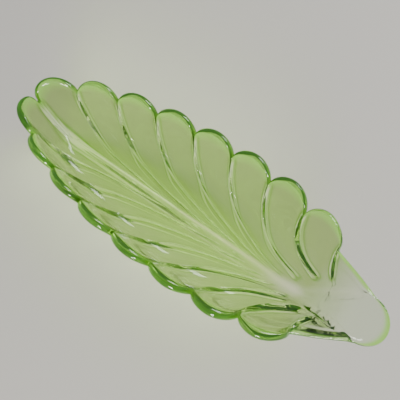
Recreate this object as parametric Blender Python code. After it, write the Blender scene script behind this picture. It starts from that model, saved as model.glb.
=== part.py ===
"""Leaf dish in green uranium glass: one pressing, fluted like a leaf, with a thumb tab at the stem end.

Axes: +X runs from the leaf's tip to its handle, +Z is up, and Y is across the leaf, which is the same
on both sides. Z = 0 is the plane of the flat foot. All lengths are in metres.

The surface is laid out on the leaf's own lines. A place on the rim is counted in lobes: 0 is the notch
at the tip, 1 to 8 are the notches along one side, and 9 is the notch where the handle's round end
starts. A line across the glass starts beside the midrib and ends at such a place on the rim, and whole
numbers are the ribs. A share along a line is 0 at the midrib and 1 at the rim.
"""

import bpy
import numpy as np

# Plan of the leaf, measured on the line through the notches of the rim
TIP_X = -0.120
HANDLE_NOTCH_X = 0.1055
HANDLE_HALF_WIDTH = 0.0131
TIP_FULLNESS = 0.0240  # how squarely the outline leaves the tip
TIP_OVERHANG = 0.0127
BODY_FULLNESS = 0.0697  # how far the belly of the outline is pulled out
BODY_REACH = 0.0876

# Heights inside the bowl, above the foot
FLOOR_HEIGHT = 0.0073
FLOOR_RISE = 0.0032  # the floor climbs this much from the tip to the handle
RIM_HEIGHT = 0.0360  # at the notches
HANDLE_HEIGHT = 0.0452
WALL_RUN = 0.0208  # plan distance in which the wall rises
WALL_CURVE = 2.43
HANDLE_RUN = 0.0332
LEDGE_START_X = 0.0446  # from here to LEDGE_END_X the bowl's wall turns into the handle's ledge
LEDGE_END_X = 0.0843
HANDLE_RISE_X = 0.070  # from here the rim climbs to the handle

# Lobes and flutes
SIDE_LOBES = 8
LOBE_RISE = 0.0101  # a lobe's top above its notches
LOBE_FLARE = 0.11  # how far a lobe leans out for each unit that it rises
LAST_FLARE = 0.55  # the same for the lobe beside the handle
FLARE_START = 3.9  # the lobes lean out more from this rim place on
LOBE_DEPTH = 0.0006  # hollow of a flute at the rim, inside
OUTER_LOBE_DEPTH = 0.0029  # how far the outside swells there
HANDLE_END_REACH = 0.0134
HANDLE_SIDE_RISE = -0.0008  # below zero, so the handle's sides are a little hollow
HANDLE_DEPTH = 0.0008
FLUTE_HOLLOW = 0.15  # hollow of a flute on the floor, for each unit of its width
FLUTE_FADE = 0.012  # a flute dies out over this length beside the midrib
RIB_HEIGHT = 0.0011  # rounded bar on the crest between two flutes
RIB_HALF_WIDTH = 0.0012
NO_RIB = 1.0  # a distance so long that the bar on a rib has no height there

# Ribs: each leaves the midrib at a low angle and swings round to meet the rim
LEAVE_ANGLE = 2.0  # degrees from the midrib
LEAVE_TURN = 0.55  # degrees more, for each rib number squared
ARRIVE_ANGLE = 121.0  # degrees from +X at the rim
ARRIVE_TURN = 1.75  # degrees less, for each rib squared away from SWUNG_RIB
SWUNG_RIB = 3.6
LEAVE_REACH = 0.83  # how long a rib keeps its first direction, as a share of its span
LEAVE_REACH_DROP = 0.105  # less by this for each rib
LEAST_LEAVE_REACH = 0.12
ARRIVE_REACH = 0.06  # for each rib
MOST_ARRIVE_REACH = 0.45

# Midrib, and the two branches that it splits into at the handle
MIDRIB_FIRST_ROOT_X = -0.0094  # the first rib leaves here
MIDRIB_LAST_ROOT_X = 0.0890
MIDRIB_TIP_HALF_WIDTH = 0.0006
MIDRIB_HALF_WIDTH = 0.0030
MIDRIB_HEIGHT = 0.0034
MIDRIB_FULLNESS = 1.2  # how far its sides run out past its half width
ROOT_SPREAD = 0.0070  # the ribs' roots stand this much wider where the handle starts
ROOT_SPREAD_START_X = 0.070
SPLIT_X = 0.074
BRANCH_HEIGHT = 0.0018
BRANCH_HALF_WIDTH = 0.0018

# Glass
RIM_THICKNESS = 0.0032  # at the notches
FLOOR_THICKNESS = 0.0058
OUTER_HOLLOW_SHARE = 0.6  # how far the outside follows the flutes inside, under the floor

# Foot: a flat oval under the floor
FOOT_CENTRE_X = -0.025
FOOT_LENGTH = 0.130
FOOT_WIDTH = 0.036
FOOT_EDGE = 0.5  # share of the oval's radius in which the underside comes down to the flat

# Where along a line things change, as shares
RIM_START = 0.7  # from here the flute and the glass take the rim's sizes
RIB_END = 0.85  # from here the bars on the ribs sink into the rim
MIDRIB_END = 0.8  # from here the midrib sinks into the tip
RISE_POWER = 6  # the higher, the nearer the rim a lobe starts to rise
BOW_POWER = 3
NEAR_RIM = 0.97  # slopes at the rim are read this far along the line

# How finely each stretch is divided
STEPS_PER_LOBE = 6
STEPS_HALF_END = 4
STEPS_INSIDE = 12
STEPS_OUTSIDE = 11
STEPS_EDGE = 4
STEPS_MIDRIB = 4
ROW_CROWDING = 0.6  # below 1 crowds the rows towards the rim
OUTLINE_STEPS = 240
CHORD_STEPS = 6  # distances are measured to every sixth point of the outline
SLOPE_STEP = 1e-4
GRID = 1e-7  # points closer than this are one point
SHARP_ANGLE = 40.0  # degrees

HANDLE_NOTCH = SIDE_LOBES + 1.0
END_MIDDLE = HANDLE_NOTCH + 0.5


def smoothstep(x):
    x = np.clip(x, 0.0, 1.0)
    return x * x * (3.0 - 2.0 * x)


def mix(a, b, share):
    return a + (b - a) * share


def unit(vectors):
    return vectors / np.linalg.norm(vectors, axis=-1, keepdims=True)


def cubic(p0, p1, p2, p3, t):
    t = t[..., None]
    u = 1.0 - t
    return u**3 * p0 + 3 * u**2 * t * p1 + 3 * u * t**2 * p2 + t**3 * p3


def half_outline():
    """The line through one side's notches, from the tip to the handle's notch."""
    tip = np.array([TIP_X, 0.0])
    notch = np.array([HANDLE_NOTCH_X, HANDLE_HALF_WIDTH])
    leave = tip + [-TIP_OVERHANG, TIP_FULLNESS]
    arrive = np.array([HANDLE_NOTCH_X - BODY_REACH, BODY_FULLNESS])
    return cubic(tip, leave, arrive, notch, np.linspace(0.0, 1.0, OUTLINE_STEPS + 1))


OUTLINE = half_outline()
OUTLINE_LENGTH = np.concatenate([[0.0], np.cumsum(np.hypot(*np.diff(OUTLINE, axis=0).T))])


def rim_plan(s):
    """Plan point on the notch line at rim place s. The notches are equally far apart along it."""
    length = np.clip(s / HANDLE_NOTCH, 0.0, 1.0) * OUTLINE_LENGTH[-1]
    x = np.interp(length, OUTLINE_LENGTH, OUTLINE[:, 0])
    y = np.interp(length, OUTLINE_LENGTH, OUTLINE[:, 1])
    across_end = np.clip((s - HANDLE_NOTCH) / (END_MIDDLE - HANDLE_NOTCH), 0.0, 1.0)
    return np.stack([x, y * (1.0 - across_end)], -1)


def midrib_half_width(x):
    along = np.clip((x - TIP_X) / (SPLIT_X - TIP_X), 0.0, 1.0)
    return mix(MIDRIB_TIP_HALF_WIDTH, MIDRIB_HALF_WIDTH, along)


def root_plan(s):
    """Plan point beside the midrib where the line to rim place s starts."""
    reach = np.log(np.maximum(s, 1.0)) / np.log(SIDE_LOBES)
    x = mix(MIDRIB_FIRST_ROOT_X, MIDRIB_LAST_ROOT_X, np.minimum(reach, 1.0))
    spread = smoothstep((x - ROOT_SPREAD_START_X) / (MIDRIB_LAST_ROOT_X - ROOT_SPREAD_START_X))
    y = midrib_half_width(x) + ROOT_SPREAD * spread
    across = np.clip((s - SIDE_LOBES) / (END_MIDDLE - SIDE_LOBES), 0.0, 1.0)
    return np.stack([x + BRANCH_HALF_WIDTH * smoothstep(across), y * (1.0 - across)], -1)


def rib_plan(s, t):
    """The curve that a rib to rim place s follows."""
    root, rim = root_plan(s), rim_plan(s)
    span = np.linalg.norm(rim - root, axis=-1)
    leave = np.radians(LEAVE_ANGLE + LEAVE_TURN * s**2)
    arrive = np.radians(ARRIVE_ANGLE - ARRIVE_TURN * (s - SWUNG_RIB) ** 2)
    leave_reach = span * np.maximum(LEAVE_REACH - LEAVE_REACH_DROP * s, LEAST_LEAVE_REACH)
    arrive_reach = span * np.minimum(ARRIVE_REACH * s, MOST_ARRIVE_REACH)
    first = root + leave_reach[..., None] * np.stack([-np.cos(leave), np.sin(leave)], -1)
    second = rim - arrive_reach[..., None] * np.stack([np.cos(arrive), np.sin(arrive)], -1)
    return cubic(root, first, second, rim, t)


def tip_plan(s, t):
    """Lines over the tip's lobe, which turn from the midrib's edge to the first rib."""
    share = s[..., None]
    first = np.ones_like(s)
    midrib_x = mix(MIDRIB_FIRST_ROOT_X, TIP_X, t)
    beside_midrib = np.stack([midrib_x, midrib_half_width(midrib_x)], -1)
    bow = rim_plan(s) - mix(rim_plan(0.0 * s), rim_plan(first), share)
    return mix(beside_midrib, rib_plan(first, t), share) + bow * (t**BOW_POWER)[..., None]


def handle_plan(s, t):
    """Lines over the handle: the last rib, carried along to new ends, turns straight by the notch."""
    along = t[..., None]
    last = np.full_like(s, SIDE_LOBES)
    carried = rib_plan(last, t)
    carried += mix(root_plan(s) - root_plan(last), rim_plan(s) - rim_plan(last), along)
    straight = mix(root_plan(s), rim_plan(s), along)
    return mix(carried, straight, smoothstep(s - SIDE_LOBES)[..., None])


def plan(s, t):
    """Plan point at share t of the line from the midrib to rim place s."""
    s, t = np.broadcast_arrays(np.asarray(s, float), np.asarray(t, float))
    points = rib_plan(np.clip(s, 1.0, SIDE_LOBES), t)
    points = np.where((s < 1.0)[..., None], tip_plan(s, t), points)
    return np.where((s > SIDE_LOBES)[..., None], handle_plan(s, t), points)


def distance_to_rim(points):
    """Shortest plan distance from each point to the notch line and the chord across the handle's end."""
    corners = np.vstack([OUTLINE[::CHORD_STEPS], [[HANDLE_NOTCH_X, 0.0]]])
    start, along = corners[:-1], np.diff(corners, axis=0)
    flat = np.stack([points[..., 0], np.abs(points[..., 1])], -1).reshape(-1, 1, 2)
    share = ((flat - start) * along).sum(-1) / (along**2).sum(-1)
    nearest = start + np.clip(share, 0.0, 1.0)[..., None] * along
    return np.linalg.norm(flat - nearest, axis=-1).min(1).reshape(points.shape[:-1])


def bowl_height(points):
    """Height of the bowl's inside at each plan point, without ribs or flutes."""
    x = points[..., 0]
    floor = FLOOR_HEIGHT + FLOOR_RISE * np.clip((x - TIP_X) / (HANDLE_NOTCH_X - TIP_X), 0.0, 1.0)
    climb = smoothstep((x - HANDLE_RISE_X) / (HANDLE_NOTCH_X - HANDLE_RISE_X))
    rim = mix(RIM_HEIGHT, HANDLE_HEIGHT, climb)
    away = distance_to_rim(points)
    wall = np.clip(1.0 - away / WALL_RUN, 0.0, 1.0) ** WALL_CURVE
    ledge = 1.0 - smoothstep(away / HANDLE_RUN)
    to_ledge = smoothstep((x - LEDGE_START_X) / (LEDGE_END_X - LEDGE_START_X))
    return mix(floor, rim, mix(wall, ledge, to_ledge))


def ridge_height(points):
    """Height of the midrib and its two branches above the bowl."""
    x, y = points[..., 0], np.abs(points[..., 1])
    grown = smoothstep((x - TIP_X) / (MIDRIB_FIRST_ROOT_X - TIP_X))
    ended = smoothstep((x - SPLIT_X) / (MIDRIB_LAST_ROOT_X - SPLIT_X))
    across = y / (midrib_half_width(x) * MIDRIB_FULLNESS)
    midrib = MIDRIB_HEIGHT * grown * (1.0 - ended) * np.exp(-(across**2))
    start = np.array([SPLIT_X, 0.0])
    branch = np.array([HANDLE_NOTCH_X, HANDLE_HALF_WIDTH]) - start
    from_split = np.stack([x, y], -1) - start
    share = np.clip(from_split @ branch / (branch @ branch), 0.0, 1.0)
    off = np.linalg.norm(from_split - share[..., None] * branch, axis=-1)
    return np.maximum(midrib, BRANCH_HEIGHT * np.exp(-((off / BRANCH_HALF_WIDTH) ** 2)))


def slope(points):
    east, north = np.array([SLOPE_STEP, 0.0]), np.array([0.0, SLOPE_STEP])
    slope_x = bowl_height(points + east) - bowl_height(points - east)
    slope_y = bowl_height(points + north) - bowl_height(points - north)
    return np.stack([slope_x, slope_y], -1) / (2.0 * SLOPE_STEP)


def arch(share):
    """0 at both ends and 1 in the middle."""
    return 4.0 * share * (1.0 - share)


def flutes(s, t):
    """How far the ribs and flutes lift the inside, and how far they swell the outside."""
    s, t = np.broadcast_arrays(s, t)
    lobe = np.minimum(np.floor(s), HANDLE_NOTCH)
    across = s - lobe
    on_end = lobe >= HANDLE_NOTCH
    width = np.linalg.norm(plan(np.minimum(lobe + 1.0, END_MIDDLE), t) - plan(lobe, t), axis=-1)
    width = np.where(on_end, 2.0 * width, width)
    on_side = lobe < SIDE_LOBES
    floor_depth = np.where(on_side, FLUTE_HOLLOW * width, HANDLE_DEPTH)
    to_rim = smoothstep((t - RIM_START) / (1.0 - RIM_START))
    line_length = t * np.linalg.norm(rim_plan(s) - root_plan(s), axis=-1)
    shape = arch(across) * smoothstep(line_length / FLUTE_FADE)
    inner_rim = np.where(on_side, LOBE_DEPTH, HANDLE_DEPTH)
    outer_rim = np.where(on_side, OUTER_LOBE_DEPTH, HANDLE_DEPTH)
    hollow = shape * mix(floor_depth, inner_rim, to_rim)
    swelling = shape * mix(OUTER_HOLLOW_SHARE * floor_depth, outer_rim, to_rim)

    from_last = width * across + NO_RIB * (lobe > SIDE_LOBES)
    to_next = width * (1.0 - across) + NO_RIB * (lobe >= SIDE_LOBES)
    off_rib = np.minimum(from_last, to_next)
    bar = RIB_HEIGHT * np.exp(-((off_rib / RIB_HALF_WIDTH) ** 2))
    bar *= smoothstep(line_length / FLUTE_FADE) * (1.0 - smoothstep((t - RIB_END) / (1.0 - RIB_END)))
    return bar - hollow, swelling


def lobe_rise(s):
    """How far the rim stands beyond the notch line at rim place s."""
    lobe = np.minimum(np.floor(s), HANDLE_NOTCH)
    top = np.where(lobe < SIDE_LOBES, LOBE_RISE, HANDLE_SIDE_RISE)
    top = np.where(lobe >= HANDLE_NOTCH, HANDLE_END_REACH, top)
    return top * np.sqrt(np.clip(arch(s - lobe), 0.0, 1.0))


def foot_flattened(points):
    """The same points, brought down to the flat of the foot inside its oval."""
    from_centre = (points[..., :2] - [FOOT_CENTRE_X, 0.0]) / [FOOT_LENGTH / 2, FOOT_WIDTH / 2]
    radius = np.linalg.norm(from_centre, axis=-1)
    flat = points.copy()
    flat[..., 2] *= smoothstep((radius - 1.0) / FOOT_EDGE)
    return flat


def walls(xy, inset_xy, t, relief, swelling, rise):
    """Inside and outside points of the glass over each plan point."""
    gradient = slope(inset_xy)
    normal = unit(np.concatenate([-gradient, np.ones(gradient.shape[:-1] + (1,))], -1))
    middle = np.concatenate([xy, bowl_height(xy)[..., None]], -1) + rise
    away = distance_to_rim(xy)
    thickness = mix(RIM_THICKNESS, FLOOR_THICKNESS, smoothstep(away / WALL_RUN))
    lift = RIM_THICKNESS / 2 * smoothstep((t - RIM_START) / (1.0 - RIM_START))
    ridge = ridge_height(xy) * (1.0 - smoothstep((t - MIDRIB_END) / (1.0 - MIDRIB_END)))
    inside = middle + normal * (lift + relief)[..., None]
    inside[..., 2] += ridge
    outside = middle + normal * (lift - thickness - swelling)[..., None]
    return inside, foot_flattened(outside)


def outward(s):
    """Plan direction in which the glass runs out over the rim."""
    run = unit(rim_plan(s) - plan(s, NEAR_RIM))
    return np.where((s > HANDLE_NOTCH)[..., None], np.array([1.0, 0.0]), run)


def up_wall(s):
    """Direction in which the wall runs at the rim."""
    run = outward(s)
    climb = (slope(plan(s, NEAR_RIM)) * run).sum(-1, keepdims=True)
    return unit(np.concatenate([run, climb], -1))


def up_lobe(s):
    """Direction in which a lobe stands up from the notch line. On the handle it is the wall's."""
    late = smoothstep((s - FLARE_START) / (SIDE_LOBES - FLARE_START))
    flare = mix(LOBE_FLARE, LAST_FLARE, late)[..., None]
    lobe = np.concatenate([outward(s) * flare, np.ones_like(flare)], -1)
    return np.where((s > SIDE_LOBES)[..., None], up_wall(s), lobe)


def rim_places():
    """Rim places from the tip's notch to the middle of the handle's end, close together at the notches."""
    places = [
        lobe + (1.0 - np.cos(np.pi * k / STEPS_PER_LOBE)) / 2
        for lobe in range(SIDE_LOBES + 1)
        for k in range(STEPS_PER_LOBE)
    ]
    places += [
        HANDLE_NOTCH + (1.0 - np.cos(np.pi / 2 * k / STEPS_HALF_END)) / 2
        for k in range(STEPS_HALF_END + 1)
    ]
    return np.array(places)


def section_rows(s, t_rows):
    """Inside and outside points of the lines to rim places s, one row for each share in t_rows."""
    s, t = np.meshgrid(s, t_rows, indexing="ij")
    rise = up_lobe(s[:, :1]) * (lobe_rise(s) * t**RISE_POWER)[..., None]
    return walls(plan(s, t), plan(s, np.minimum(t, NEAR_RIM)), t, *flutes(s, t), rise)


def half_shell():
    """Points of one half, as columns along the rim by rows over the rim from inside to outside."""
    s = rim_places()
    inside_t = np.linspace(0.0, 1.0, STEPS_INSIDE + 1) ** ROW_CROWDING
    outside_t = np.linspace(0.0, 1.0, STEPS_OUTSIDE + 1) ** ROW_CROWDING
    inside = section_rows(s, inside_t)[0]
    outside = section_rows(s, outside_t)[1]
    first, last = inside[:, -1], outside[:, -1]
    middle, half = (first + last) / 2, (first - last) / 2
    reach = np.linalg.norm(half, axis=-1, keepdims=True) * up_wall(s)
    turns = np.pi * np.arange(1, STEPS_EDGE) / STEPS_EDGE
    edge = np.stack([middle + half * np.cos(a) + reach * np.sin(a) for a in turns], 1)
    return s, inside_t, outside_t, np.concatenate([inside, edge, outside[:, ::-1]], 1)


def midrib_strip(s, t, half_points, outer):
    """Points across the midrib, from each point of one half to its mirror image."""
    strips = []
    edge_xy, inset_xy = plan(s, t), plan(s, np.minimum(t, NEAR_RIM))
    flat, still = np.zeros_like(t), np.zeros(3)
    reference = walls(edge_xy, inset_xy, t, flat, flat, still)[outer]
    faded = 1.0 - smoothstep((t - MIDRIB_END) / (1.0 - MIDRIB_END))
    for k in range(STEPS_MIDRIB + 1):
        squeeze = np.array([1.0, 1.0 - 2.0 * k / STEPS_MIDRIB])
        here = walls(edge_xy * squeeze, inset_xy * squeeze, t, flat, flat, still)[outer]
        point = half_points * np.append(squeeze, 1.0)
        point[..., 2] += (here[..., 2] - reference[..., 2]) * faded
        strips.append(point)
    return np.stack(strips, 1)


def add_sheet(faces, grid, flip):
    """Quads over a grid of points, as tuples of points."""
    for i in range(grid.shape[0] - 1):
        for j in range(grid.shape[1] - 1):
            quad = [grid[i, j], grid[i + 1, j], grid[i + 1, j + 1], grid[i, j + 1]]
            faces.append(quad[::-1] if flip else quad)


def weld(faces):
    """Shared vertices and index tuples of the faces, with collapsed corners left out."""
    index, vertices, loops = {}, [], []
    for face in faces:
        loop = []
        for point in face:
            key = tuple(int(round(value / GRID)) for value in point)
            if key not in index:
                index[key] = len(vertices)
                vertices.append(tuple(value * GRID for value in key))
            if index[key] not in loop:
                loop.append(index[key])
        if len(loop) > 2:
            loops.append(loop)
    return vertices, loops


def leaf_dish_mesh():
    s, inside_t, outside_t, half = half_shell()
    half[-1, :, 1] = 0.0
    rows_in, rows_out = len(inside_t), len(outside_t)
    tip_in = midrib_strip(np.zeros(rows_in), inside_t, half[0, :rows_in], 0)
    tip_out = midrib_strip(np.zeros(rows_out), outside_t, half[0, -rows_out:][::-1], 1)
    rim_row = half[0, rows_in - 1 : half.shape[1] - rows_out + 1]
    across = [np.array([1.0, 1.0 - 2.0 * k / STEPS_MIDRIB, 1.0]) for k in range(STEPS_MIDRIB + 1)]
    tip_edge = np.stack([rim_row * squeeze for squeeze in across], 1)
    faces = []
    add_sheet(faces, half, False)
    add_sheet(faces, half * [1.0, -1.0, 1.0], True)
    add_sheet(faces, tip_in, False)
    add_sheet(faces, tip_edge, False)
    add_sheet(faces, tip_out[::-1], False)
    add_sheet(faces, midrib_strip(s, np.zeros_like(s), half[:, 0], 0), True)
    add_sheet(faces, midrib_strip(s, np.zeros_like(s), half[:, -1], 1), False)
    return weld(faces)


def uranium_glass():
    material = bpy.data.materials.new("uranium_glass")
    material.use_nodes = True
    shader = material.node_tree.nodes["Principled BSDF"]
    shader.inputs["Base Color"].default_value = (0.55, 0.80, 0.25, 1.0)
    shader.inputs["Metallic"].default_value = 0.0
    shader.inputs["Roughness"].default_value = 0.04
    shader.inputs["IOR"].default_value = 1.52
    shader.inputs["Transmission Weight"].default_value = 1.0
    return material


def main():
    for item in list(bpy.data.objects):
        bpy.data.objects.remove(item, do_unlink=True)
    vertices, loops = leaf_dish_mesh()
    mesh = bpy.data.meshes.new("leaf_dish")
    mesh.from_pydata(vertices, [], loops)
    mesh.validate()
    dish = bpy.data.objects.new("leaf_dish", mesh)
    bpy.context.scene.collection.objects.link(dish)
    mesh.materials.append(uranium_glass())
    mesh.shade_smooth()
    mesh.set_sharp_from_angle(angle=np.radians(SHARP_ANGLE))


main()
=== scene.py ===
# %% [markdown]
# # A leaf dish in pressed uranium glass
#
# The dish is one piece of glass. A plunger pressed it into an iron mould that was cut like a leaf:
# eight flutes on each side, a rib between each two, a midrib that widens towards the stem, and a
# thumb tab where the leaf's stem would be. The rim was then melted smooth in a flame.
# This lesson writes the leaf's rule as Geometry Nodes, gives it the glass, and lights it.
#
# The first cell loads the plain solid of the dish. It fixes where everything is, in metres, with
# the foot at height 0, the tip of the leaf at -X and the thumb tab at +X.

# %% Load the plain solid
import math

import bpy
from mathutils import Euler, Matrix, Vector


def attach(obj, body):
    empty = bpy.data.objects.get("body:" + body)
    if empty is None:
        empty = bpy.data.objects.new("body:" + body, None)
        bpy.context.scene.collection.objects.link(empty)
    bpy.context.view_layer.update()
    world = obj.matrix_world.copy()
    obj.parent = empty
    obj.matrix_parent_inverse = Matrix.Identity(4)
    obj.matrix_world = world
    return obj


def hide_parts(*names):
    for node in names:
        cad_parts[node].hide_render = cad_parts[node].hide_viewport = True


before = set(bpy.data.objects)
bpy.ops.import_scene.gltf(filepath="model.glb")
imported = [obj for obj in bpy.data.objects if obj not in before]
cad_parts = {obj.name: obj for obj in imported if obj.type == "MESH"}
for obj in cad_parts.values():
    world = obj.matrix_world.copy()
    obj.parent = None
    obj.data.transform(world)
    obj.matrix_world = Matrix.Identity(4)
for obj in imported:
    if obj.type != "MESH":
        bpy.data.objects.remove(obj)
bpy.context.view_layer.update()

# %% [markdown]
# ## The camera
#
# The camera comes first, because every later choice is judged through it. It stands above the near
# side of the dish and looks steeply down, as a person does at a dish on a table, with the leaf
# running from the upper left to the lower right. A moderate lens from a quarter of a metre gives
# the strong perspective that makes the near rim look larger than the far one.

# %% Set the camera
CAMERA_PLACE = (0.04475, -0.06398, 0.25088)
CAMERA_TURN = (21.023, -1.547, 35.715)
LENS_MM = 35.55
SENSOR_MM = 36.0

camera_data = bpy.data.cameras.new("camera")
camera_data.lens = LENS_MM
camera_data.sensor_width = SENSOR_MM
camera_data.clip_start = 0.01
camera = bpy.data.objects.new("camera", camera_data)
camera.location = CAMERA_PLACE
camera.rotation_euler = Euler([math.radians(angle) for angle in CAMERA_TURN])
bpy.context.scene.collection.objects.link(camera)
bpy.context.scene.camera = camera
print("camera height:", camera.location.z, "m, lens:", LENS_MM, "mm")

# %% [markdown]
# ## The sizes
#
# Every size that the leaf's rule needs has a name and a value here, in metres unless the name says
# otherwise. Each becomes a named input of the node tree. The rule counts places on the rim in lobes:
# 0 is the notch at the tip, 1 to 8 are the notches along one side, 9 is where the round end of the
# thumb tab starts, and 9.5 is the middle of that end. A share along a line is 0 at the midrib and 1 at
# the rim.

# %% Name the sizes
SIDE_LOBES = 8
TAB_NOTCH = 9
END_MIDDLE = 9.5

SIZES = {
    # plan of the line through the notches
    "Tip X": -0.120,
    "Tab Notch X": 0.1055,
    "Tab Half Width": 0.0131,
    "Tip Fullness": 0.0240,
    "Tip Overhang": 0.0127,
    "Body Fullness": 0.0697,
    "Body Reach": 0.0876,
    # heights inside the bowl
    "Floor Height": 0.0073,
    "Floor Rise": 0.0032,
    "Rim Height": 0.0360,
    "Tab Height": 0.0452,
    "Tab Climb X": 0.070,
    "Wall Run": 0.0208,
    "Wall Curve": 2.43,
    "Ledge Run": 0.0332,
    "Ledge Start X": 0.0446,
    "Ledge End X": 0.0843,
    # lobes and flutes
    "Lobe Rise": 0.0101,
    "Lobe Flare": 0.11,
    "Last Flare": 0.55,
    "Flare Start": 3.9,
    "Lobe Depth": 0.0006,
    "Outer Lobe Depth": 0.0029,
    "Tab End Reach": 0.0134,
    "Tab Side Rise": -0.0008,
    "Tab Depth": 0.0008,
    "Flute Hollow": 0.15,
    "Flute Fade": 0.012,
    "Crest Rounding": 0.05,
    "Rib Height": 0.0011,
    "Rib Half Width": 0.0012,
    # ribs, with angles in degrees
    "Leave Angle": 2.0,
    "Leave Turn": 0.55,
    "Arrive Angle": 121.0,
    "Arrive Turn": 1.75,
    "Swung Rib": 3.6,
    "Leave Reach": 0.83,
    "Leave Reach Drop": 0.105,
    "Least Leave Reach": 0.12,
    "Arrive Reach": 0.06,
    "Most Arrive Reach": 0.45,
    # midrib and its two branches
    "First Root X": -0.0094,
    "Last Root X": 0.0890,
    "Midrib Tip Half Width": 0.0006,
    "Midrib Half Width": 0.0030,
    "Midrib Height": 0.0034,
    "Midrib Fullness": 1.2,
    "Root Spread": 0.0070,
    "Root Spread X": 0.070,
    "Split X": 0.074,
    "Branch Height": 0.0018,
    "Branch Half Width": 0.0018,
    # thickness of the glass
    "Rim Thickness": 0.0032,
    "Floor Thickness": 0.0058,
    "Outer Hollow Share": 0.6,
    # the flat foot
    "Foot Centre X": -0.025,
    "Foot Length": 0.130,
    "Foot Width": 0.036,
    "Foot Edge": 0.5,
}
print(len(SIZES), "named sizes")

# %% [markdown]
# ## Writing nodes as formulas
#
# The rule of the leaf is arithmetic, and a few hundred Math nodes laid by hand would be hard to read.
# So a small helper wraps a node's output as a *field*, and adding or multiplying two fields adds the
# node that does it. A *recipe* is one node group. When a recipe asks for a size by name, the size
# becomes an input of its group, and of every group that places it, up to the modifier itself.

# %% Define fields
class Field:
    """One value in a group of nodes, which arithmetic can be done with."""

    def __init__(self, recipe, socket):
        self.recipe = recipe
        self.socket = socket

    def __add__(self, other):
        return self.recipe.sum("ADD", self, other)

    def __radd__(self, other):
        return self.recipe.sum("ADD", other, self)

    def __sub__(self, other):
        return self.recipe.sum("SUBTRACT", self, other)

    def __rsub__(self, other):
        return self.recipe.sum("SUBTRACT", other, self)

    def __mul__(self, other):
        return self.recipe.sum("MULTIPLY", self, other)

    def __rmul__(self, other):
        return self.recipe.sum("MULTIPLY", self, other)

    def __truediv__(self, other):
        return self.recipe.sum("DIVIDE", self, other)

    def __rtruediv__(self, other):
        return self.recipe.sum("DIVIDE", other, self)

    def __pow__(self, other):
        return self.recipe.sum("POWER", self, other)


def is_vector(value):
    if isinstance(value, Field):
        return value.socket.type == "VECTOR"
    return isinstance(value, tuple)


# %% Define recipes
class Recipe:
    """One Geometry Nodes group, written as formulas."""

    def __init__(self, name):
        self.tree = bpy.data.node_groups.new(name, "GeometryNodeTree")
        self.taken = self.tree.nodes.new("NodeGroupInput")
        self.given = self.tree.nodes.new("NodeGroupOutput")

    def join(self, value, socket):
        """Links a field to a socket, or sets a plain value on it."""
        if isinstance(value, Field):
            self.tree.links.new(value.socket, socket)
        else:
            socket.default_value = value

    def node(self, kind, inputs, out=0, **settings):
        """Adds a node with its inputs by place or name, and returns one of its outputs."""
        made = self.tree.nodes.new(kind)
        for name, value in settings.items():
            setattr(made, name, value)
        for place, value in inputs.items():
            self.join(value, made.inputs[place])
        return Field(self, made.outputs[out])

    def sum(self, operation, first, second):
        """First and second put together: plain numbers, vectors, or a vector and a number."""
        if not is_vector(first) and not is_vector(second):
            return self.node("ShaderNodeMath", {0: first, 1: second}, operation=operation)
        if operation == "MULTIPLY" and is_vector(first) != is_vector(second):
            vector, number = (first, second) if is_vector(first) else (second, first)
            return self.node("ShaderNodeVectorMath", {0: vector, "Scale": number}, operation="SCALE")
        return self.node("ShaderNodeVectorMath", {0: first, 1: second}, operation=operation)

    def take(self, name, kind, default=None):
        """An input of the group, made the first time it is asked for."""
        if name not in self.taken.outputs:
            socket = self.tree.interface.new_socket(name, in_out="INPUT", socket_type="NodeSocket" + kind)
            if default is not None:
                socket.default_value = default
        return Field(self, self.taken.outputs[name])

    def size(self, name):
        return self.take(name, "Float", SIZES[name])

    def give(self, name, kind, value):
        """An output of the group."""
        self.tree.interface.new_socket(name, in_out="OUTPUT", socket_type="NodeSocket" + kind)
        self.join(value, self.given.inputs[name])

    def place(self, other, **inputs):
        """Places another recipe's group, and passes on the sizes that it needs."""
        made = self.tree.nodes.new("GeometryNodeGroup")
        made.node_tree = other.tree
        for socket in made.inputs:
            known = inputs[socket.name] if socket.name in inputs else self.size(socket.name)
            self.join(known, socket)
        return Field(self, made.outputs[0])


# %% Define the small functions that the formulas use
def op(field, operation, *others):
    """A Math node on one field, or on a field and more values."""
    inputs = dict(enumerate((field, *others)))
    return field.recipe.node("ShaderNodeMath", inputs, operation=operation)


def vop(field, operation, *others, out=0):
    """A Vector Math node."""
    inputs = dict(enumerate((field, *others)))
    return field.recipe.node("ShaderNodeVectorMath", inputs, out=out, operation=operation)


def clamp(field):
    return field.recipe.node("ShaderNodeClamp", {0: field})


def smooth(field, start, end):
    """0 up to start, 1 from end, and an S-shaped climb between."""
    inputs = {0: field, 1: start, 2: end, 3: 0.0, 4: 1.0}
    return field.recipe.node("ShaderNodeMapRange", inputs, interpolation_type="SMOOTHSTEP")


def blend(a, b, share):
    """a where share is 0, b where it is 1."""
    return a + (b - a) * share


def xyz(recipe, x, y, z=0.0):
    return recipe.node("ShaderNodeCombineXYZ", {0: x, 1: y, 2: z})


def part_of(vector, axis):
    return vector.recipe.node("ShaderNodeSeparateXYZ", {0: vector}, out="XYZ".index(axis))


def unit(vector):
    return vop(vector, "NORMALIZE")


def length(vector):
    return vop(vector, "LENGTH", out=1)


def arch(share):
    """0 at both ends and 1 in the middle."""
    return 4.0 * share * (1.0 - share)


def bezier(p0, p1, p2, p3, t):
    """Point at share t of a curve that leaves p0 towards p1 and reaches p3 from p2."""
    u = 1.0 - t
    return p0 * (u**3.0) + p1 * (3.0 * u**2.0 * t) + p2 * (3.0 * u * t**2.0) + p3 * (t**3.0)


print("formula helpers ready")

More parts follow.
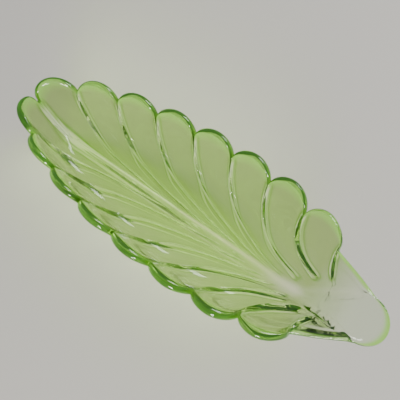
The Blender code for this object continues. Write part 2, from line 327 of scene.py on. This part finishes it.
# %% [markdown]
# ## The notch line
#
# Seen from above, the notches between the lobes lie on one smooth curve on each side, from the tip to
# the thumb tab. A Bezier Segment draws it from four points. Everything else hangs on this line, so it
# is its own group. Only one half is drawn, because the leaf is the same on both sides.

# %% Draw the notch line
notch_line = Recipe("notch line")
tip_x = notch_line.size("Tip X")
tab_x = notch_line.size("Tab Notch X")
OUTLINE_STEPS = 240
notch_line.give(
    "Curve",
    "Geometry",
    notch_line.node(
        "GeometryNodeCurvePrimitiveBezierSegment",
        {
            0: OUTLINE_STEPS,
            1: xyz(notch_line, tip_x, 0.0),
            2: xyz(notch_line, tip_x - notch_line.size("Tip Overhang"), notch_line.size("Tip Fullness")),
            3: xyz(notch_line, tab_x - notch_line.size("Body Reach"), notch_line.size("Body Fullness")),
            4: xyz(notch_line, tab_x, notch_line.size("Tab Half Width")),
        },
    ),
)
print("notch line:", len(notch_line.tree.nodes), "nodes")

# %% [markdown]
# ## Where a line starts and where it ends
#
# Sample Curve walks along the notch line by its length, so the notches are equally far apart. The
# lines' roots lie beside the midrib. They crowd together towards the stem, as a leaf's veins do, and a
# logarithm of the rim place gives that.

# %% Find the two ends of a line
def rim_point(recipe, place, curve=None):
    """Point on the notch line at a rim place. Past the tab's notch it runs across to the middle."""
    curve = curve or recipe.take("Notch Line", "Geometry")
    factor = clamp(place * (1.0 / TAB_NOTCH))
    point = recipe.node("GeometryNodeSampleCurve", {"Curves": curve, "Factor": factor}, out="Position")
    narrowed = 1.0 - clamp((place - TAB_NOTCH) / (END_MIDDLE - TAB_NOTCH))
    return point * xyz(recipe, 1.0, narrowed)


def midrib_half_width(recipe, x):
    """The midrib widens evenly from the tip to where it splits."""
    tip_x = recipe.size("Tip X")
    along = clamp((x - tip_x) / (recipe.size("Split X") - tip_x))
    return blend(recipe.size("Midrib Tip Half Width"), recipe.size("Midrib Half Width"), along)


def root_point(recipe, place):
    """Point beside the midrib where the line to a rim place starts."""
    reach = clamp(op(op(place, "MAXIMUM", 1.0), "LOGARITHM", float(SIDE_LOBES)))
    last_x = recipe.size("Last Root X")
    x = blend(recipe.size("First Root X"), last_x, reach)
    spread = recipe.size("Root Spread") * smooth(x, recipe.size("Root Spread X"), last_x)
    across = clamp((place - SIDE_LOBES) / (END_MIDDLE - SIDE_LOBES))
    y = (midrib_half_width(recipe, x) + spread) * (1.0 - across)
    return xyz(recipe, x + recipe.size("Branch Half Width") * smooth(across, 0.0, 1.0), y)


# %% [markdown]
# ## The ribs
#
# A rib leaves the midrib at a low angle and swings round to meet the rim, and the ribs near the stem
# do so more sharply. Each is a Bezier curve whose two inner points come from the rib's number: an
# angle and a reach at the root, and an angle and a reach at the rim. Numbers between whole ones give
# the lines in between, so one formula covers the whole side.

# %% Draw one rib
def turned(recipe, degrees):
    angle = degrees * math.radians(1.0)
    return xyz(recipe, op(angle, "COSINE"), op(angle, "SINE"))


def rib_curve(recipe, place, share):
    root, rim = root_point(recipe, place), rim_point(recipe, place)
    span = length(rim - root)
    leave = 180.0 - (recipe.size("Leave Angle") + recipe.size("Leave Turn") * place**2.0)
    off_swung = place - recipe.size("Swung Rib")
    arrive = recipe.size("Arrive Angle") - recipe.size("Arrive Turn") * off_swung * off_swung
    kept = recipe.size("Leave Reach") - recipe.size("Leave Reach Drop") * place
    leave_reach = span * op(kept, "MAXIMUM", recipe.size("Least Leave Reach"))
    came = recipe.size("Arrive Reach") * place
    arrive_reach = span * op(came, "MINIMUM", recipe.size("Most Arrive Reach"))
    first = root + turned(recipe, leave) * leave_reach
    second = rim - turned(recipe, arrive) * arrive_reach
    return bezier(root, first, second, rim, share)


rib = Recipe("rib")
rib.give("Point", "Vector", rib_curve(rib, rib.take("Place", "Float"), rib.take("Share", "Float")))
print("rib:", len(rib.tree.nodes), "nodes")

# %% [markdown]
# ## The lines over the whole leaf
#
# Before the first rib the lines turn from the midrib's edge to that rib, and bow out to the tip's
# lobe. After the last rib they straighten out over the thumb tab. The group joins the three parts.

# %% Join the tip, the ribs and the tab
leaf_line = Recipe("leaf line")
line_place = leaf_line.take("Place", "Float")
line_share = leaf_line.take("Share", "Float")
on_ribs = leaf_line.node("ShaderNodeClamp", {0: line_place, 1: 1.0, 2: float(SIDE_LOBES)})
notches = leaf_line.take("Notch Line", "Geometry")
rib_point = leaf_line.place(rib, **{"Place": on_ribs, "Share": line_share, "Notch Line": notches})

BOW_POWER = 3.0
midrib_x = blend(leaf_line.size("First Root X"), leaf_line.size("Tip X"), line_share)
beside = xyz(leaf_line, midrib_x, midrib_half_width(leaf_line, midrib_x))
first_notch = rim_point(leaf_line, on_ribs)
tip_chord = blend(xyz(leaf_line, leaf_line.size("Tip X"), 0.0), first_notch, line_place)
place_end = rim_point(leaf_line, line_place)
bow = (place_end - tip_chord) * line_share**BOW_POWER
tip_point = blend(beside, rib_point, line_place) + bow

place_root = root_point(leaf_line, line_place)
last_root = root_point(leaf_line, on_ribs)
last_notch = rim_point(leaf_line, on_ribs)
carried = rib_point + blend(place_root - last_root, place_end - last_notch, line_share)
straight = blend(place_root, place_end, line_share)
tab_point = blend(carried, straight, smooth(line_place, SIDE_LOBES, TAB_NOTCH))

on_tip = op(line_place, "LESS_THAN", 1.0)
on_tab = op(line_place, "GREATER_THAN", float(SIDE_LOBES))
leaf_line.give("Point", "Vector", blend(blend(rib_point, tip_point, on_tip), tab_point, on_tab))
print("leaf line:", len(leaf_line.tree.nodes), "nodes")

# %% [markdown]
# ## The height of the bowl
#
# The floor is nearly level. The wall climbs in a curve over the last two centimetres before the notch
# line, and near the stem it becomes a gentler ledge that carries the thumb tab. Geometry Proximity
# measures how far each point is from the line.

# %% Raise the bowl
bowl = Recipe("bowl height")
bowl_point = bowl.take("Point", "Vector")
x = part_of(bowl_point, "X")
mirrored = xyz(bowl, x, op(part_of(bowl_point, "Y"), "ABSOLUTE"))
edge = bowl.take("Edge", "Geometry")
nearest = {"Geometry": edge, "Sample Position": mirrored}
away = bowl.node("GeometryNodeProximity", nearest, out="Distance", target_element="EDGES")
tip_x, tab_x = bowl.size("Tip X"), bowl.size("Tab Notch X")
floor_height = bowl.size("Floor Height") + bowl.size("Floor Rise") * clamp((x - tip_x) / (tab_x - tip_x))
climb = smooth(x, bowl.size("Tab Climb X"), tab_x)
rim_height = blend(bowl.size("Rim Height"), bowl.size("Tab Height"), climb)
wall = clamp(1.0 - away / bowl.size("Wall Run")) ** bowl.size("Wall Curve")
ledge = 1.0 - smooth(away, 0.0, bowl.size("Ledge Run"))
to_ledge = smooth(x, bowl.size("Ledge Start X"), bowl.size("Ledge End X"))
bowl.give("Height", "Float", blend(floor_height, rim_height, blend(wall, ledge, to_ledge)))
bowl.give("Away", "Float", away)
print("bowl height:", len(bowl.tree.nodes), "nodes")

# %% [markdown]
# ## The midrib
#
# A rounded ridge runs up the middle of the leaf. Where the thumb tab starts it splits, and its two
# low branches run to the corners of the tab's end. Its height is a bell curve of the distance across.

# %% Raise the midrib
def bell(field):
    return op(field * field * -1.0, "EXPONENT")


midrib = Recipe("midrib height")
midrib_point = midrib.take("Point", "Vector")
x = part_of(midrib_point, "X")
y = op(part_of(midrib_point, "Y"), "ABSOLUTE")
grown = smooth(x, midrib.size("Tip X"), midrib.size("First Root X"))
ended = smooth(x, midrib.size("Split X"), midrib.size("Last Root X"))
across = y / (midrib_half_width(midrib, x) * midrib.size("Midrib Fullness"))
ridge = midrib.size("Midrib Height") * grown * (1.0 - ended) * bell(across)

split = xyz(midrib, midrib.size("Split X"), 0.0)
branch = xyz(midrib, midrib.size("Tab Notch X"), midrib.size("Tab Half Width")) - split
from_split = xyz(midrib, x, y) - split
along = vop(from_split, "DOT_PRODUCT", branch, out=1) / vop(branch, "DOT_PRODUCT", branch, out=1)
off_branch = length(from_split - branch * clamp(along))
low_ridge = midrib.size("Branch Height") * bell(off_branch / midrib.size("Branch Half Width"))
midrib.give("Height", "Float", op(ridge, "MAXIMUM", low_ridge))
print("midrib height:", len(midrib.tree.nodes), "nodes")

# %% [markdown]
# ## Which way is straight out of the glass
#
# The glass has an inside and an outside, a few millimetres apart, measured square to the bowl. So the
# rule needs the bowl's slope. It reads the height a tenth of a millimetre to each side and compares.

# %% Measure the slope
SLOPE_STEP = 1e-4
slope = Recipe("bowl slope")
slope_point = slope.take("Point", "Vector")
slope_edge = slope.take("Edge", "Geometry")


def height_at(offset):
    return slope.place(bowl, **{"Point": slope_point + offset, "Edge": slope_edge})


slope_x = height_at((SLOPE_STEP, 0.0, 0.0)) - height_at((-SLOPE_STEP, 0.0, 0.0))
slope_y = height_at((0.0, SLOPE_STEP, 0.0)) - height_at((0.0, -SLOPE_STEP, 0.0))
slope.give("Slope", "Vector", xyz(slope, slope_x, slope_y) * (0.5 / SLOPE_STEP))
print("bowl slope:", len(slope.tree.nodes), "nodes")

# %% [markdown]
# ## The sheet that becomes the dish
#
# The dish starts as a flat grid. Its columns are places on the rim and its rows run from the midrib
# up the inside, round the rim and back down the outside. A few more columns and rows at the ends
# squeeze towards the middle plane, and so cover the midrib. This cell turns a point's number in the
# grid into its rim place, its share of the line, and its turn round the rim.

# %% Lay out the grid
COLUMNS_PER_LOBE = 24
ROWS_INSIDE = 56
ROWS_ROUND = 12
ROWS_OUTSIDE = 46
STEPS_ACROSS = 5
ROW_CROWDING = 0.75

rows = STEPS_ACROSS + ROWS_INSIDE + ROWS_ROUND + ROWS_OUTSIDE + STEPS_ACROSS + 1
columns = STEPS_ACROSS + int(COLUMNS_PER_LOBE * END_MIDDLE) + 1

dish = Recipe("leaf dish")
grid = dish.node("GeometryNodeMeshGrid", {2: columns, 3: rows})
index = dish.node("GeometryNodeInputIndex", {})
column = op((index + 0.5) / float(rows), "FLOOR") - float(STEPS_ACROSS)
row = index - (column + float(STEPS_ACROSS)) * float(rows) - float(STEPS_ACROSS)

side_column = op(column, "MAXIMUM", 0.0)
lobe = op((side_column + 0.5) / float(COLUMNS_PER_LOBE), "FLOOR")
step = side_column - lobe * float(COLUMNS_PER_LOBE)
across_lobe = 0.5 - 0.5 * op(step * (math.pi / COLUMNS_PER_LOBE), "COSINE")
place = lobe + across_lobe

rows_to_outside = float(ROWS_INSIDE + ROWS_ROUND)
rows_from_end = rows_to_outside + ROWS_OUTSIDE - row
inside_share = clamp(row / float(ROWS_INSIDE)) ** ROW_CROWDING
outside_share = clamp(rows_from_end / float(ROWS_OUTSIDE)) ** ROW_CROWDING
share = op(inside_share, "MINIMUM", outside_share)
round_turn = clamp((row - float(ROWS_INSIDE)) / float(ROWS_ROUND)) * math.pi

past_root = op(op(0.0 - row, "MAXIMUM", 0.0 - rows_from_end), "MAXIMUM", 0.0 - column)
squeeze = 1.0 - clamp(past_root / float(STEPS_ACROSS))
print("grid:", columns, "columns by", rows, "rows")

# %% [markdown]
# ## Where each point lies in plan
#
# Each point takes its place from the leaf's lines. A second point a little way in from the rim gives
# the slope there, because on the notch line itself the wall stops and its slope can't be read.

# %% Find the plan points
NEAR_RIM = 0.97
dish_notches = dish.place(notch_line)
tab_chord = dish.node(
    "GeometryNodeCurvePrimitiveLine",
    {
        0: xyz(dish, dish.size("Tab Notch X"), dish.size("Tab Half Width")),
        1: xyz(dish, dish.size("Tab Notch X"), 0.0),
    },
)
both = dish.node("GeometryNodeJoinGeometry", {})
dish.tree.links.new(dish_notches.socket, both.socket.node.inputs[0])
dish.tree.links.new(tab_chord.socket, both.socket.node.inputs[0])
dish_edge = dish.node("GeometryNodeCurveToMesh", {0: both})


def line_point(at_place, at_share):
    values = {"Place": at_place, "Share": at_share, "Notch Line": dish_notches}
    return dish.place(leaf_line, **values)


def squeezed(point):
    return point * xyz(dish, 1.0, squeeze)


plan_point = squeezed(line_point(place, share))
inner_point = squeezed(line_point(place, op(share, "MINIMUM", NEAR_RIM)))
near_rim_point = line_point(place, NEAR_RIM)
print("plan points set")

# %% [markdown]
# ## The flutes
#
# Between two ribs the glass is hollowed by a parabola, whose depth grows with the flute's width. On
# the crest of a rib the hollow is rounded a little, because a mould can't hold a knife edge, and a
# low rounded bar runs along the crest. Beside the midrib the flutes and the bars die out. Outside,
# the glass swells under each flute, so that it stays about three millimetres thick.

# %% Hollow the flutes
RIM_START = 0.7
RIB_END = 0.85

on_side = op(place, "LESS_THAN", float(SIDE_LOBES))
next_point = line_point(op(lobe + 1.0, "MINIMUM", END_MIDDLE), share)
flute_width = length(next_point - line_point(lobe, share))
to_rim = smooth(share, RIM_START, 1.0)

raw_arch = clamp(arch(across_lobe))
rounding = dish.size("Crest Rounding")
round_arch = op(raw_arch * raw_arch + rounding * rounding, "SQRT") - rounding
floor_depth = blend(dish.size("Tab Depth"), dish.size("Flute Hollow") * flute_width, on_side)
rim_depth = blend(dish.size("Tab Depth"), dish.size("Lobe Depth"), on_side)
rim_end = rim_point(dish, place, dish_notches)
from_root = share * length(rim_end - root_point(dish, place))
fade = smooth(from_root, 0.0, dish.size("Flute Fade"))
hollow = round_arch * blend(floor_depth, rim_depth, to_rim) * fade
outer_floor_depth = dish.size("Outer Hollow Share") * floor_depth
outer_rim_depth = blend(dish.size("Tab Depth"), dish.size("Outer Lobe Depth"), on_side)
outer_hollow = round_arch * blend(outer_floor_depth, outer_rim_depth, to_rim) * fade
# past the last rib the distance gets a whole metre more, so no bar stands on the thumb tab
to_last_rib = flute_width * across_lobe + op(lobe, "GREATER_THAN", SIDE_LOBES + 0.5)
to_next_rib = flute_width * (1.0 - across_lobe) + op(lobe, "GREATER_THAN", SIDE_LOBES - 0.5)
to_rib = op(to_last_rib, "MINIMUM", to_next_rib)
rib_bell = bell(to_rib / dish.size("Rib Half Width")) * fade
rib_bar = dish.size("Rib Height") * rib_bell * (1.0 - smooth(share, RIB_END, 1.0))
print("flutes hollowed")

# %% [markdown]
# ## The lobes
#
# At the rim each flute ends in a lobe, half an oval that stands above its notches. The lobes lean out
# a little, and the last one beside the thumb tab leans out most. The tab's end runs straight on.

# %% Raise the lobes
RISE_POWER = 6.0


def slope_at(point):
    return dish.place(slope, **{"Point": point, "Edge": dish_edge})


past_tab = op(place, "GREATER_THAN", float(TAB_NOTCH))
run_out = unit(blend(unit(rim_end - near_rim_point), (1.0, 0.0, 0.0), past_tab))
wall_climb = vop(slope_at(near_rim_point), "DOT_PRODUCT", run_out, out=1)
up_wall = unit(run_out + xyz(dish, 0.0, 0.0, wall_climb))
late = smooth(place, dish.size("Flare Start"), float(SIDE_LOBES))
flare = blend(dish.size("Lobe Flare"), dish.size("Last Flare"), late)
up_lobe = run_out * flare + (0.0, 0.0, 1.0)
past_lobes = op(place, "GREATER_THAN", float(SIDE_LOBES))
up_rim = blend(up_lobe, up_wall, past_lobes)

on_end = op(lobe + 0.5, "GREATER_THAN", float(TAB_NOTCH))
top = blend(dish.size("Tab Side Rise"), dish.size("Lobe Rise"), on_side)
top = blend(top, dish.size("Tab End Reach"), on_end)
rise = up_rim * (top * op(raw_arch, "SQRT") * share**RISE_POWER)
print("lobes raised")

# %% [markdown]
# ## Inside, outside and the melted rim
#
# The two surfaces lie to either side of the bowl, square to it. The outside follows the flutes less
# deeply, and under the floor it comes down to a flat oval foot. At the rim half a circle
# of rows joins the two, which is the roundness that the flame leaves.

# %% Part the glass into its inside and outside
MIDRIB_END = 0.8

gradient = slope_at(inner_point)
straight_up = unit((0.0, 0.0, 1.0) - gradient)
height = dish.place(bowl, **{"Point": plan_point, "Edge": dish_edge})
distance = Field(dish, height.socket.node.outputs["Away"])
middle = plan_point + xyz(dish, 0.0, 0.0, height) + rise
rim_half = dish.size("Rim Thickness") * 0.5
thickness = blend(
    dish.size("Rim Thickness"), dish.size("Floor Thickness"), smooth(distance, 0.0, dish.size("Wall Run"))
)
lift = rim_half * to_rim
ridge_here = dish.place(midrib, **{"Point": plan_point}) * (1.0 - smooth(share, MIDRIB_END, 1.0))
inside = middle + straight_up * (lift - hollow + rib_bar) + xyz(dish, 0.0, 0.0, ridge_here)
under = middle + straight_up * (lift - thickness - outer_hollow)

foot_x = (part_of(under, "X") - dish.size("Foot Centre X")) / (dish.size("Foot Length") * 0.5)
foot_y = part_of(under, "Y") / (dish.size("Foot Width") * 0.5)
foot_radius = length(xyz(dish, foot_x, foot_y))
off_foot = smooth(foot_radius, 1.0, 1.0 + dish.size("Foot Edge"))
outside = under * xyz(dish, 1.0, 1.0, off_foot)

centre = (inside + outside) * 0.5
half = (inside - outside) * 0.5
round_out = up_wall * xyz(dish, 1.0, squeeze, 1.0) * length(half)
final_point = centre + half * op(round_turn, "COSINE") + round_out * op(round_turn, "SINE")
print("glass parted")

# %% [markdown]
# ## From half a leaf to the whole dish
#
# The half is set in place, mirrored, and welded down the middle. Faces of the mirrored half are
# flipped back so that all of them point out of the glass. Each point also keeps three marks, which say
# how near it is to the rim, to a rib and to the midrib. The glass takes its tint from them, and also
# its painted light and shade and its painted glow.

# %% Weld the two halves
WELD = 2e-6
RIM_MARK_START = 0.975
RIB_MARK_SPREAD = 1.5
MIDRIB_MARK_POWER = 2.0

rim_mark = smooth(share, RIM_MARK_START, 1.0)
midrib_mark = (ridge_here / dish.size("Midrib Height")) ** MIDRIB_MARK_POWER
# the rib mark places the painted shade and the painted highlight along each rib
mark_bell = bell(to_rib / (dish.size("Rib Half Width") * RIB_MARK_SPREAD))
rib_mark = mark_bell * fade * (1.0 - rim_mark)
marked = grid
for name, mark in (("rim", rim_mark), ("rib", rib_mark), ("midrib", midrib_mark)):
    inputs = {"Geometry": marked, "Name": name, "Value": mark}
    marked = dish.node("GeometryNodeStoreNamedAttribute", inputs, domain="POINT")
placed = dish.node("GeometryNodeSetPosition", {"Geometry": marked, "Position": final_point})
other = dish.node("GeometryNodeTransform", {"Geometry": placed, "Scale": (1.0, -1.0, 1.0)})
flipped = dish.node("GeometryNodeFlipFaces", {"Mesh": other})
halves = dish.node("GeometryNodeJoinGeometry", {})
for half_dish in (placed, flipped):
    dish.tree.links.new(half_dish.socket, halves.socket.node.inputs[0])
welded = dish.node("GeometryNodeMergeByDistance", {"Geometry": halves, "Distance": WELD})
smoothed = dish.node("GeometryNodeSetShadeSmooth", {"Geometry": welded})
realized = dish.node("GeometryNodeRealizeInstances", {"Geometry": smoothed})
print("leaf dish:", len(dish.tree.nodes), "nodes in the main group")

# %% [markdown]
# ## The glass
#
# Uranium glass is a clear soda glass with a little uranium in it, which turns it yellow green. Light
# that runs a long way inside, round the rim or along a rib, comes out as a stronger green, because the
# uranium gives part of what it takes in back as green light. Here that light is painted into the
# glass. So the material has three parts: a tint that differs between body, ribs and rim, which is
# the glass's own colour on the body and painted light and shade on the ribs, midrib and rim, a weak
# painted green glow that is strongest at the rim, and a volume that deepens the colour wherever the
# glass is thick.

# %% Start the glass
BODY_TINT = (0.52, 0.68, 0.29, 1.0)
# painted shade along the feet of the ribs, and painted highlights on the ribs, their crests and the
# midrib
FLANK_PAINTED_SHADE = (0.24, 0.50, 0.07, 1.0)
RIB_PAINTED_LIGHT = (0.90, 0.98, 0.62, 1.0)
CREST_PAINTED_HIGHLIGHT = (1.0, 1.0, 0.88, 1.0)
TAB_TINT = (0.88, 0.95, 0.80, 1.0)
# a brighter green painted on the rim: painted light for what is carried round it inside the glass
RIM_PAINTED_LIGHT = (0.50, 0.85, 0.22, 1.0)
# a painted glow, for light carried round the rim and along the ribs and for the green that the uranium
# gives back
PAINTED_GLOW_COLOR = (0.28, 1.0, 0.05, 1.0)
PAINTED_GLOW_STRENGTH = 0.085
RIB_PAINTED_GLOW = 0.7
BODY_PAINTED_GLOW = 0.04
ABSORPTION_COLOR = (0.80, 0.955, 0.42, 1.0)
ABSORPTION_DENSITY = 20.0
GLASS_IOR = 1.52
BLACK = (0.0, 0.0, 0.0, 1.0)

glass = bpy.data.materials.new("uranium_glass")
glass.use_nodes = True
nodes, links = glass.node_tree.nodes, glass.node_tree.links
shader = nodes["Principled BSDF"]
surface_end = nodes["Material Output"]
shader.inputs["IOR"].default_value = GLASS_IOR
shader.inputs["Transmission Weight"].default_value = 1.0
# the emission is a painted glow, not a lamp
shader.inputs["Emission Strength"].default_value = PAINTED_GLOW_STRENGTH


def shade(kind, inputs, out=0, **settings):
    """Adds a shader node with its inputs by place or name, and returns one of its outputs."""
    node = nodes.new(kind)
    for name, value in settings.items():
        setattr(node, name, value)
    for place, value in inputs.items():
        if isinstance(value, bpy.types.NodeSocket):
            links.new(value, node.inputs[place])
        else:
            node.inputs[place].default_value = value
    return node.outputs[out]


def color_mix(share, first, second):
    return shade("ShaderNodeMix", {0: share, 6: first, 7: second}, out=2, data_type="RGBA")


print("glass started, index of refraction", GLASS_IOR)

# %% [markdown]
# ## Where the tints and the painted light lie
#
# A rib gathers light like a rod lens. Its crest shows pale, and a dark green line runs along each
# foot of it. Both are painted into the colour here: painted shade on the flanks, and a painted
# highlight on the rib and its crest. So the rib's mark, which falls away on both sides, is read in
# three steps: first the dark painted flank, then the rib, then the pale painted crest. The midrib
# takes the same painted highlight, and the rim a brighter painted green. The thumb tab is the palest
# part.

# %% Tint the body, and paint light and shade on the ribs and the rim
TAB_STEP = (0.080, 0.100)
FLANK_STEP = (0.03, 0.25)
RIB_STEP = (0.30, 0.60)
CREST_STEP = (0.60, 1.0)


def step_of(value, ends):
    """0 up to the first end, 1 from the second, and an even climb between."""
    return shade("ShaderNodeMapRange", {0: value, 1: ends[0], 2: ends[1]})


rim_here = shade("ShaderNodeAttribute", {}, out="Fac", attribute_name="rim")
rib_here = shade("ShaderNodeAttribute", {}, out="Fac", attribute_name="rib")
midrib_here = shade("ShaderNodeAttribute", {}, out="Fac", attribute_name="midrib")
where = shade("ShaderNodeTexCoord", {}, out="Object")
along_dish = shade("ShaderNodeSeparateXYZ", {0: where}, out="X")
tint = color_mix(step_of(along_dish, TAB_STEP), BODY_TINT, TAB_TINT)
# painted shade on the rib flanks, then painted highlights on the ribs, their crests and the midrib
tint = color_mix(step_of(rib_here, FLANK_STEP), tint, FLANK_PAINTED_SHADE)
tint = color_mix(step_of(rib_here, RIB_STEP), tint, RIB_PAINTED_LIGHT)
tint = color_mix(step_of(rib_here, CREST_STEP), tint, CREST_PAINTED_HIGHLIGHT)
tint = color_mix(midrib_here, tint, CREST_PAINTED_HIGHLIGHT)
# painted light: a brighter green on the rim
links.new(color_mix(rim_here, tint, RIM_PAINTED_LIGHT), shader.inputs["Base Color"])

# painted glow: strongest at the rim, then along the ribs, faint over the body
rib_glow = shade("ShaderNodeMath", {0: rib_here, 1: RIB_PAINTED_GLOW}, operation="MULTIPLY")
edge_glow = shade("ShaderNodeMath", {0: rim_here, 1: rib_glow}, operation="MAXIMUM")
glow = shade("ShaderNodeMath", {0: edge_glow, 1: BODY_PAINTED_GLOW}, operation="MAXIMUM")
links.new(color_mix(glow, BLACK, PAINTED_GLOW_COLOR), shader.inputs["Emission Color"])

absorbed = {"Color": ABSORPTION_COLOR, "Density": ABSORPTION_DENSITY}
links.new(shade("ShaderNodeVolumeAbsorption", absorbed), surface_end.inputs["Volume"])
print("tints set")

# %% [markdown]
# ## What the mould and the years left on the surface
#
# Pressed glass is never quite flat. The iron mould was chilled unevenly, which leaves slow waves a
# few millimetres long and a faint orange peel. The foot has stood on tables for years, so it's scuffed
# and dull, and the rest keeps its flame polish with only a trace of wear.

# %% Make the surface uneven
WAVES_PER_METRE = 110.0
PEEL_PER_METRE = 700.0
PEEL_SHARE = 0.12
WAVE_HEIGHT = 0.0004
WAVE_STRENGTH = 0.15
WEAR_STEP = (0.45, 0.75)
POLISHED = 0.012
WORN = 0.05
SCUFFED = 0.35
SCUFFS_PER_METRE = 420.0
SCUFF_HEIGHT = 0.0008

waves = shade("ShaderNodeTexNoise", {"Vector": where, "Scale": WAVES_PER_METRE, "Detail": 1.0})
peel = shade("ShaderNodeTexNoise", {"Vector": where, "Scale": PEEL_PER_METRE, "Detail": 2.0})
peel_low = shade("ShaderNodeMath", {0: peel, 1: PEEL_SHARE}, operation="MULTIPLY")
relief = shade("ShaderNodeMath", {0: waves, 1: peel_low}, operation="ADD")
bump = {"Height": relief, "Strength": WAVE_STRENGTH, "Distance": WAVE_HEIGHT}
links.new(shade("ShaderNodeBump", bump), shader.inputs["Normal"])

scuffs = shade("ShaderNodeTexNoise", {"Vector": where, "Scale": SCUFFS_PER_METRE, "Detail": 4.0})
wear = shade("ShaderNodeMapRange", {0: scuffs, 1: WEAR_STEP[0], 2: WEAR_STEP[1], 3: POLISHED, 4: WORN})
height_here = shade("ShaderNodeSeparateXYZ", {0: where}, out="Z")
on_foot = shade("ShaderNodeMapRange", {0: height_here, 1: 0.0, 2: SCUFF_HEIGHT, 3: SCUFFED, 4: 0.0})
scuffed = shade("ShaderNodeMath", {0: on_foot, 1: scuffs}, operation="MULTIPLY")
dull = shade("ShaderNodeMath", {0: wear, 1: scuffed}, operation="MAXIMUM")
links.new(dull, shader.inputs["Roughness"])
print("surface:", len(nodes), "nodes in the glass")

# %% [markdown]
# ## Letting the lamps through
#
# A lamp's light has to reach the table through the glass, or the dish would throw a shadow like a
# stone. So a ray that only asks whether a lamp can be seen meets a plain clear sheet. The lamps are
# then hidden from light that comes back through the glass, or their light would count twice.

# %% Clear the way for the lamps
CLEAR_COLOR = (0.93, 0.96, 0.88, 1.0)

asks_for_lamp = shade("ShaderNodeLightPath", {}, out="Is Shadow Ray")
clear = shade("ShaderNodeBsdfTransparent", {"Color": CLEAR_COLOR})
either = shade("ShaderNodeMixShader", {0: asks_for_lamp, 1: shader.outputs[0], 2: clear})
links.new(either, surface_end.inputs["Surface"])
print("glass mixed")

# %% [markdown]
# ## Growing the dish
#
# The tree ends by giving its faces the glass. A modifier runs it on an empty mesh with the sizes set
# on its inputs, and the result is kept as a plain mesh, so that nothing has to be worked out again.

# %% Grow the dish
finished = dish.node("GeometryNodeSetMaterial", {"Geometry": realized, "Material": glass})
dish.give("Geometry", "Geometry", finished)


def grow(recipe, name):
    """Runs a recipe's tree on an empty mesh, and returns the result as a plain mesh object."""
    seed = bpy.data.objects.new(name + "_seed", bpy.data.meshes.new(name + "_seed"))
    bpy.context.scene.collection.objects.link(seed)
    modifier = seed.modifiers.new("leaf", "NODES")
    modifier.node_group = recipe.tree
    for item in recipe.tree.interface.items_tree:
        if item.in_out == "INPUT":
            modifier[item.identifier] = SIZES[item.name]
    evaluated = seed.evaluated_get(bpy.context.evaluated_depsgraph_get())
    mesh = bpy.data.meshes.new_from_object(evaluated)
    bpy.data.objects.remove(seed)
    mesh.name = name
    grown = bpy.data.objects.new(name, mesh)
    bpy.context.scene.collection.objects.link(grown)
    return grown


leaf = grow(dish, "leaf_dish_glass")
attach(leaf, "root")
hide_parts("leaf_dish")
triangles = sum(len(face.vertices) - 2 for face in leaf.data.polygons)
print("dish:", len(leaf.data.vertices), "points,", triangles, "triangles")

# %% [markdown]
# ## The floor and the light
#
# A pale, matt floor lets the glass show its own colour. A big soft light stands far to the right, as a
# window would. A smaller one stands low on the near side and puts small glints on the far flutes. The
# surroundings are a plain light grey. The floor lies a hair under the foot, because two faces in the
# same plane would fight over which is seen.

# %% Set the stage
FLOOR_SIDE = 6.0
GAP = 0.0003
FLOOR_COLOR = (0.60, 0.57, 0.52, 1.0)
FLOOR_ROUGHNESS = 0.9
FLOOR_SHINE = 0.2
SKY_COLOR = (0.95, 0.97, 1.0, 1.0)
SKY_STRENGTH = 0.45

floor_material = bpy.data.materials.new("floor")
floor_material.use_nodes = True
floor_shader = floor_material.node_tree.nodes["Principled BSDF"]
floor_shader.inputs["Base Color"].default_value = FLOOR_COLOR
floor_shader.inputs["Roughness"].default_value = FLOOR_ROUGHNESS
floor_shader.inputs["Specular IOR Level"].default_value = FLOOR_SHINE
floor_mesh = bpy.data.meshes.new("floor")
corner = FLOOR_SIDE / 2
floor_mesh.from_pydata(
    [(-corner, -corner, -GAP), (corner, -corner, -GAP), (corner, corner, -GAP), (-corner, corner, -GAP)],
    [],
    [(0, 1, 2, 3)],
)
floor_mesh.materials.append(floor_material)
floor = bpy.data.objects.new("floor", floor_mesh)
bpy.context.scene.collection.objects.link(floor)
print("floor laid", GAP, "m under the foot")


def soft_light(name, place, side, power, color):
    """A square light that faces the middle of the dish."""
    data = bpy.data.lights.new(name, "AREA")
    data.size = side
    data.energy = power
    data.color = color
    light = bpy.data.objects.new(name, data)
    light.location = place
    light.rotation_euler = (-Vector(place)).to_track_quat("-Z", "Y").to_euler()
    light.visible_transmission = False
    bpy.context.scene.collection.objects.link(light)


# %% Light the stage
soft_light("window", (0.62, -1.02, 0.42), 0.32, 16.0, (1.0, 0.98, 0.95))
soft_light("far window", (0.5, 1.0, 1.1), 0.7, 18.0, (0.95, 0.98, 1.0))
world = bpy.data.worlds.new("surroundings")
world.use_nodes = True
world.node_tree.nodes["Background"].inputs["Color"].default_value = SKY_COLOR
world.node_tree.nodes["Background"].inputs["Strength"].default_value = SKY_STRENGTH
world.cycles.sampling_method = "NONE"
bpy.context.scene.world = world
print("stage lit")
